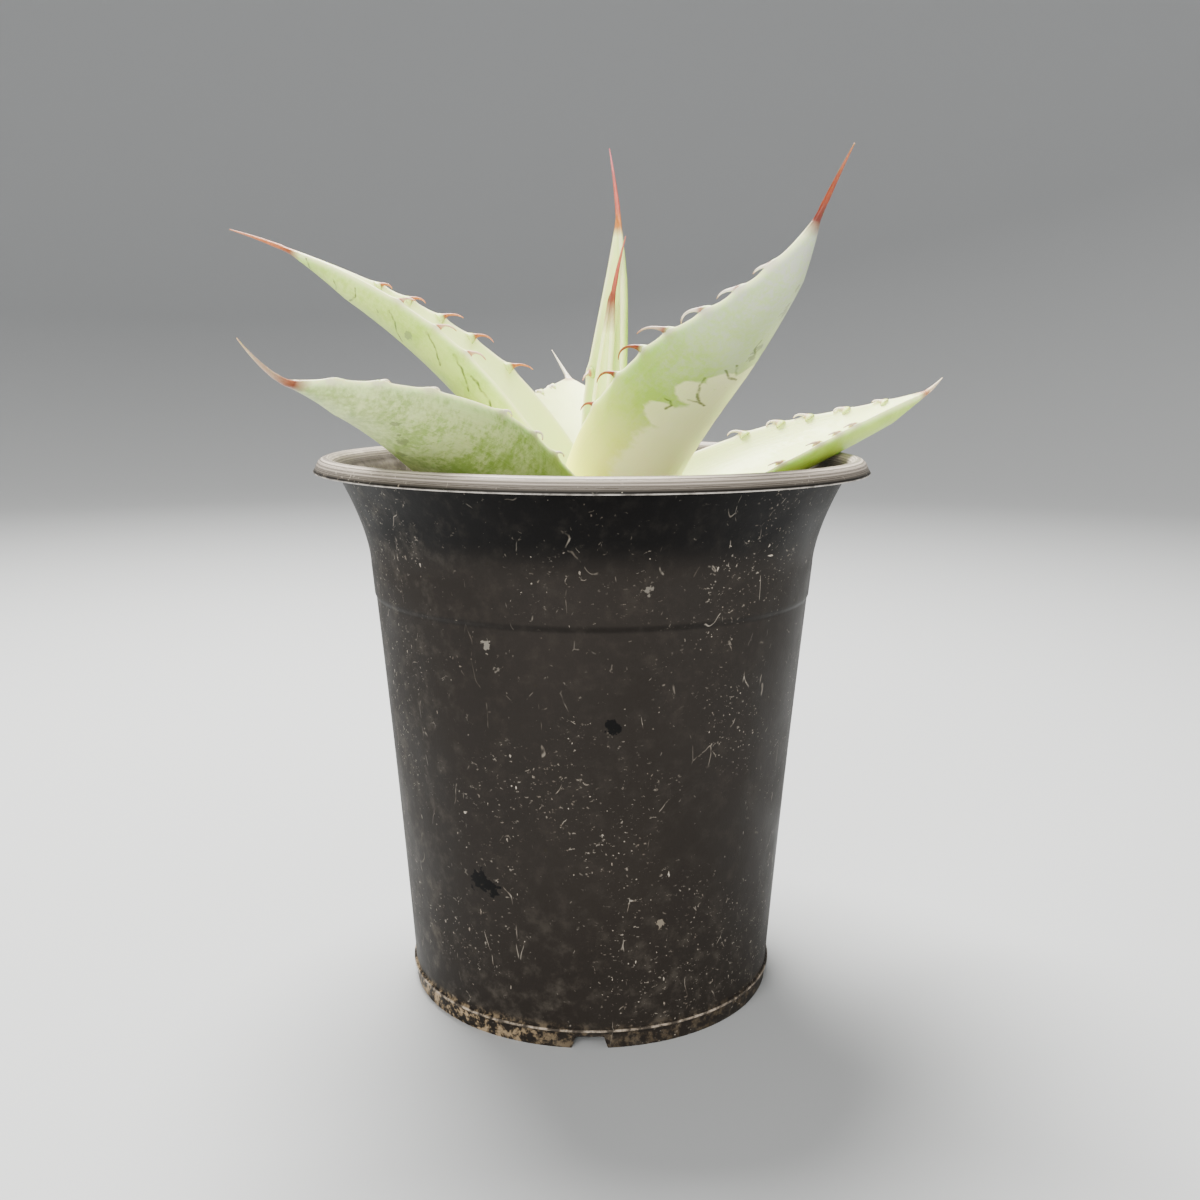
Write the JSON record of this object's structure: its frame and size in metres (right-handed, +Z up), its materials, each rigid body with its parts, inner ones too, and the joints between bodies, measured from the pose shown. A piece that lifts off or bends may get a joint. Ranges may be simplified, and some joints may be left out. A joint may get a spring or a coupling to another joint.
{
  "type": "potted agave",
  "caption": "Young potted agave: thick guttered leaves with hooked marginal teeth and long terminal spines, rooted in grit in a tapered black nursery pot with a rolled rim.",
  "frame": {"origin": "on the pot's axis, on the surface that its foot stands on; the leaves reach equally far to either side of it", "axes": "+Z up along the pot's axis; -Y faces the viewer, towards the foot's front notch; +X to the viewer's right"},
  "size_m": [0.1648, 0.156, 0.1849],
  "materials": {
    "black_plastic": "matte",
    "grit_mix": "matte",
    "stem": "matte",
    "leaf": "satin",
    "pumice": "matte"
  },
  "bodies": {
    "root": {"pot": "black_plastic", "soil": "grit_mix", "stem_and_roots": "stem", "leaf_1": "leaf", "leaf_2": "leaf", "leaf_3": "leaf", "leaf_4": "leaf", "leaf_5": "leaf", "leaf_6": "leaf", "leaf_7": "leaf", "stone_01": "pumice", "stone_02": "pumice", "stone_03": "pumice", "stone_04": "pumice", "stone_05": "pumice", "stone_06": "pumice", "stone_07": "pumice", "stone_08": "pumice", "stone_09": "pumice", "stone_10": "pumice", "stone_11": "pumice", "stone_12": "pumice"}
  },
  "joints": []
}
